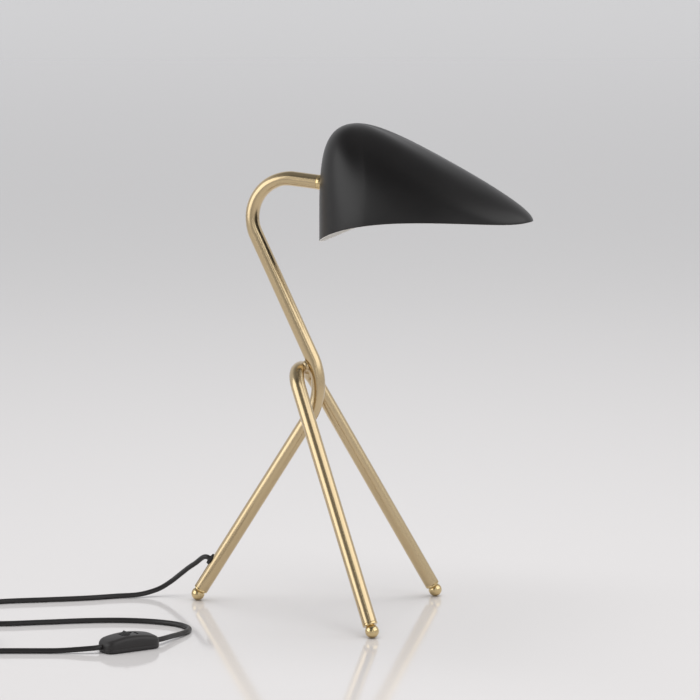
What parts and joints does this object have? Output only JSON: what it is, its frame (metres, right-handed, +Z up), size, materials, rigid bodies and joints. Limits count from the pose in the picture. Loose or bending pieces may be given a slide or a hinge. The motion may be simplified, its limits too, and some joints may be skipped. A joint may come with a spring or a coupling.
{
  "type": "table lamp",
  "caption": "Tripod table lamp of bent brass tube with a pointed black metal shade, a cord with an inline rocker switch and a flat plug.",
  "frame": {"origin": "on the table under the middle of the lamp without its cord: halfway from the rear foot to the tip of the shade, and halfway between the front feet", "axes": "+X the way the shade points, +Y to the left of that, +Z up"},
  "size_m": [0.5652, 0.421, 0.468],
  "materials": {
    "satin_brass": "satin brushed, lacquered",
    "polished_brass": "polished",
    "contact_brass": "bright",
    "zinc_steel": "zinc plated",
    "nickel_plate": "nickel plated",
    "copper_wire": "bare stranded copper",
    "black_lacquer": "semi-gloss black outside, matt white inside",
    "white_ceramic": "glazed white",
    "opal_glass": "opal",
    "black_vitrite": "glossy",
    "matte_black_plastic": "fine moulded texture",
    "cord_pvc": "smooth, slightly glossy",
    "grommet_rubber": "matt"
  },
  "bodies": {
    "lamp": {"arm_tube": "satin_brass", "hairpin_tube": "satin_brass", "knot_braze": "satin_brass", "foot_rear": "polished_brass", "foot_front_right": "polished_brass", "foot_front_left": "polished_brass", "arm_end_bush": "zinc_steel", "arm_end_ring": "polished_brass", "threaded_nipple": "zinc_steel", "lock_washer": "zinc_steel", "shade_nut": "zinc_steel", "shade": "black_lacquer", "holder_cap": "matte_black_plastic", "holder_core": "white_ceramic", "holder_sleeve_ring": "matte_black_plastic", "thread_shell": "contact_brass", "centre_contact": "contact_brass", "holder_screws": "zinc_steel", "inner_cord": "cord_pvc", "lead_wires": "copper_wire", "bulb_glass": "opal_glass", "bulb_cap": "nickel_plate", "bulb_insulator": "black_vitrite", "bulb_contact": "nickel_plate", "cord_grommet": "grommet_rubber", "cord_to_switch": "cord_pvc", "switch_base": "matte_black_plastic", "switch_cover": "matte_black_plastic", "switch_contacts": "contact_brass", "switch_leads": "cord_pvc", "cord_clamps": "matte_black_plastic", "switch_screws": "zinc_steel", "cord_from_switch": "cord_pvc", "cord_coil": "cord_pvc", "plug_relief": "cord_pvc", "plug_body": "matte_black_plastic", "plug_sleeves": "matte_black_plastic", "plug_pins": "nickel_plate"},
    "rocker": {"switch_rocker": "matte_black_plastic"}
  },
  "joints": [
    {"name": "rocker_tilt", "type": "hinge", "parent": "lamp", "child": "rocker", "pos_m": [-0.14625, -0.2101, 0.0105], "axis": [0.766, -0.6428, 0], "range_deg": [0, 32]}
  ]
}
